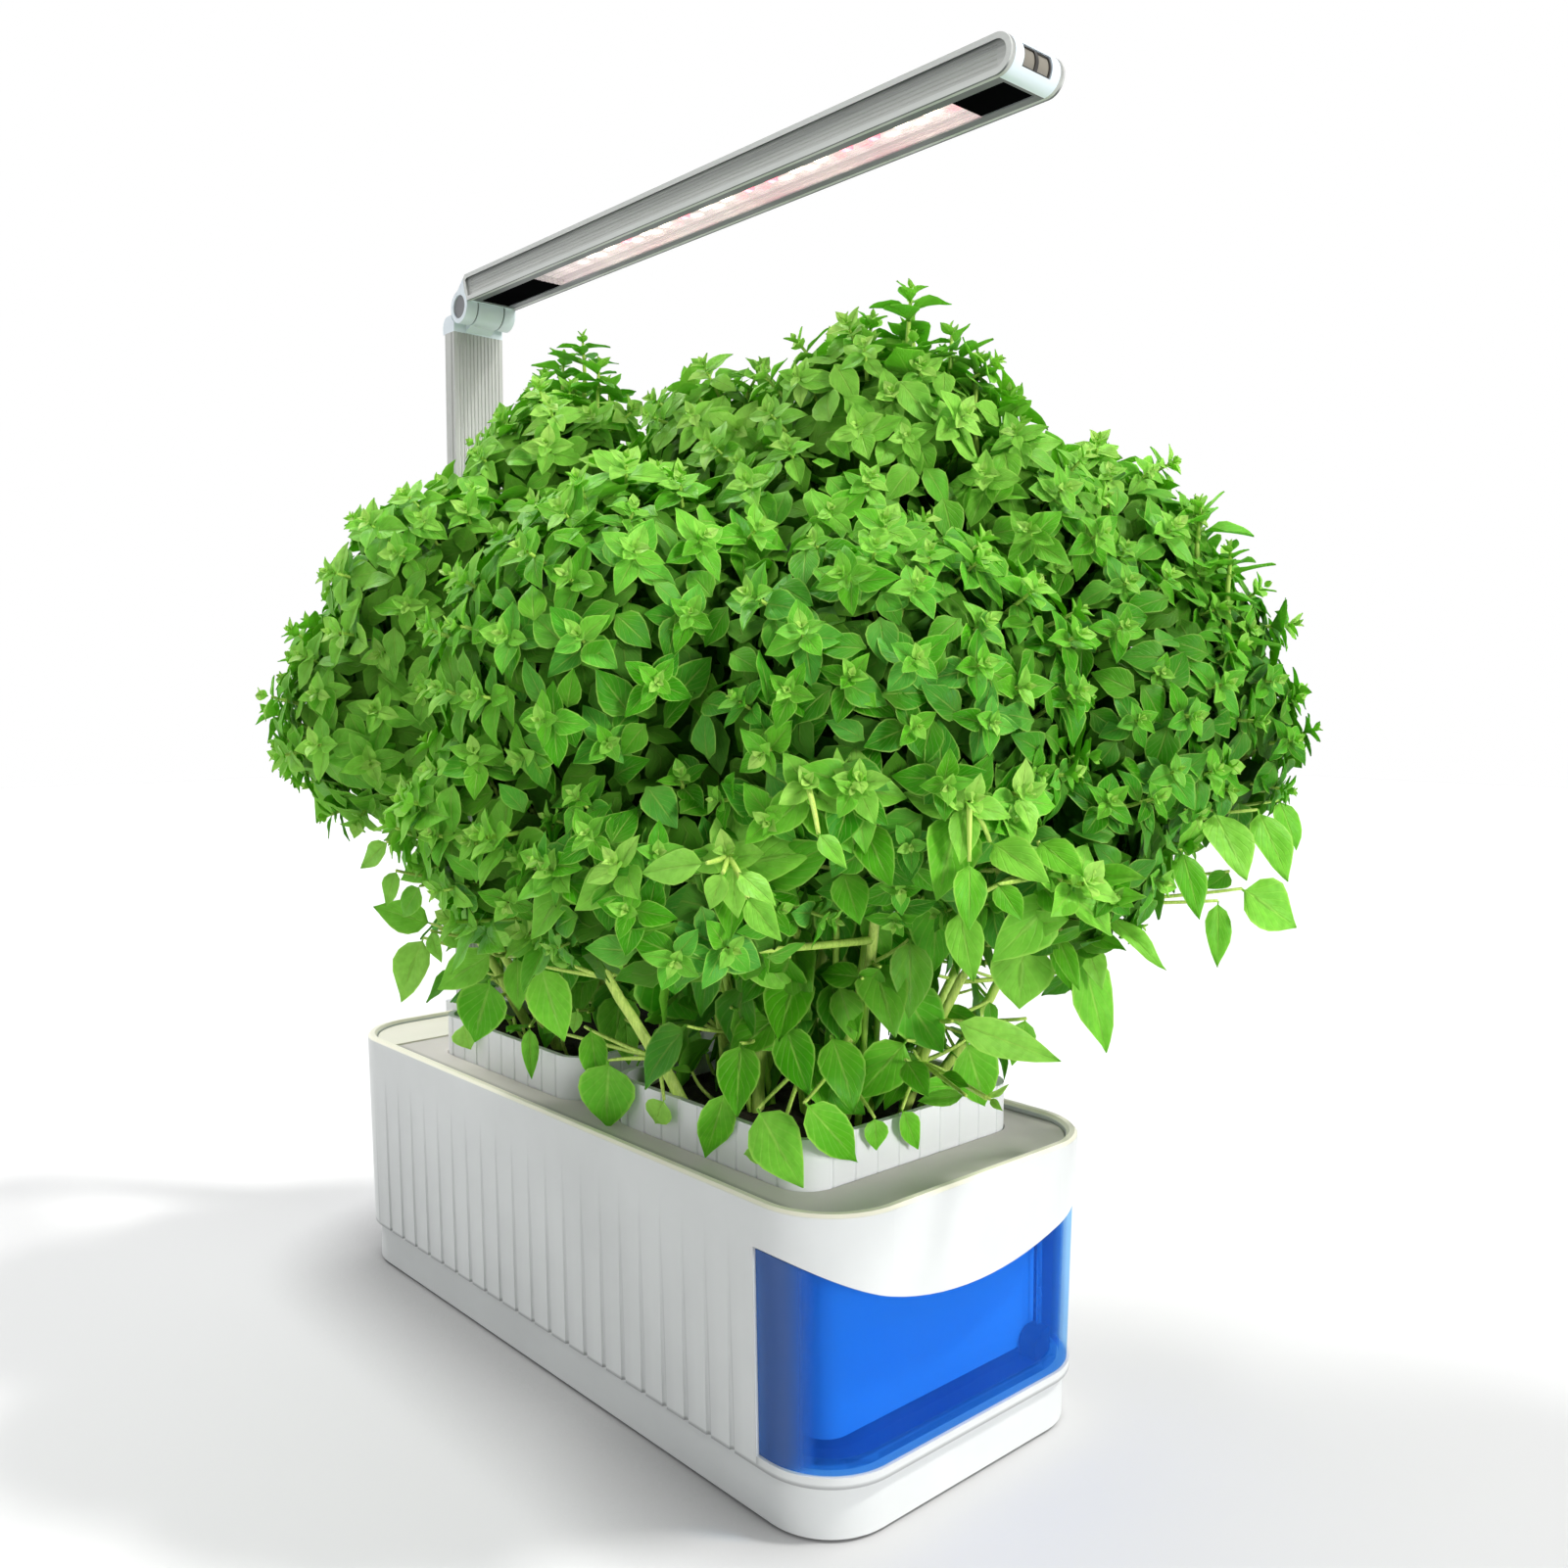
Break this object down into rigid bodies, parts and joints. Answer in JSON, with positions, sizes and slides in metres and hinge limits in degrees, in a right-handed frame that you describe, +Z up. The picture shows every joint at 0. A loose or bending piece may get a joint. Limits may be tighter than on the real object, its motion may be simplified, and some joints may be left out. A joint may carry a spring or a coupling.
{
  "type": "countertop hydroponic garden",
  "caption": "White fluted countertop garden with a blue see-through water window, lift-out trays of basil and a folding grow lamp on a post.",
  "frame": {"origin": "middle of the base's footprint, on the surface that the feet stand on", "axes": "+X towards the end with the water window, -Y towards one fluted long side, +Z up along the lamp post"},
  "size_m": [0.3264, 0.2688, 0.3813],
  "materials": {
    "shell_white": "satin",
    "foot_rubber": "matte",
    "screw_steel": "satin",
    "window_blue": "gloss",
    "tank_blue": "satin",
    "liner_white": "satin",
    "black_plastic": "satin",
    "deck_grey": "satin",
    "cover_cream": "satin",
    "board_green": "satin",
    "lamp_aluminium": "satin",
    "hinge_plastic": "satin",
    "cap_grey": "satin",
    "nose_white": "gloss",
    "sensor_window": "gloss",
    "board_white": "satin",
    "led_white": "gloss",
    "led_red": "gloss",
    "lens_clear": "gloss",
    "mask_black": "gloss",
    "tray_white": "satin",
    "soil": "matte",
    "wick_cotton": "matte",
    "basil_leaf": "satin",
    "basil_stem": "satin"
  },
  "bodies": {
    "base": {"base_plinth": "shell_white", "rubber_feet": "foot_rubber", "plinth_screws": "screw_steel", "outer_shell": "shell_white", "water_window": "window_blue", "water_tank": "tank_blue", "planter_liner": "liner_white", "float_guide_rod": "screw_steel", "planting_deck": "deck_grey", "rear_bay_cover": "cover_cream", "control_board": "board_green", "board_components": "black_plastic", "board_screws": "screw_steel", "dc_jack": "black_plastic", "jack_nut": "screw_steel", "lamp_socket": "shell_white", "socket_screws": "screw_steel", "post_clamp_screw": "screw_steel", "lamp_post": "lamp_aluminium", "post_head": "hinge_plastic"},
    "float": {"level_float": "black_plastic"},
    "lamp_head": {"hinge_pin": "screw_steel", "hinge_caps": "cap_grey", "friction_washers": "black_plastic", "head_end_cap": "hinge_plastic", "head_channel": "lamp_aluminium", "near_side_trim": "lamp_aluminium", "far_side_trim": "lamp_aluminium", "nose_cap": "nose_white", "nose_window": "sensor_window", "nose_window_frame": "cap_grey", "led_board": "board_white", "led_board_screws": "screw_steel", "white_leds": "led_white", "red_leds": "led_red", "lamp_lens": "lens_clear", "touch_mask": "mask_black", "nose_mask": "mask_black"},
    "rear_planting": {"rear_tray": "tray_white", "rear_soil": "soil", "rear_wicks": "wick_cotton", "rear_stems": "basil_stem", "rear_basil": "basil_leaf"},
    "front_planting": {"front_tray": "tray_white", "front_soil": "soil", "front_wicks": "wick_cotton", "front_stems": "basil_stem", "front_basil": "basil_leaf"}
  },
  "joints": [
    {"name": "lamp_hinge", "type": "hinge", "parent": "base", "child": "lamp_head", "pos_m": [-0.1251, 0, 0.37], "axis": [0, -1, 0], "range_deg": [-4, 90]},
    {"name": "rear_tray_lift", "type": "slide", "parent": "base", "child": "rear_planting", "axis": [0, 0, 1], "range_m": [0, 0.02]},
    {"name": "front_tray_lift", "type": "slide", "parent": "base", "child": "front_planting", "axis": [0, 0, 1], "range_m": [0, 0.03]},
    {"name": "float_rise", "type": "slide", "parent": "base", "child": "float", "axis": [0, 0, 1], "range_m": [0, 0.045]}
  ]
}
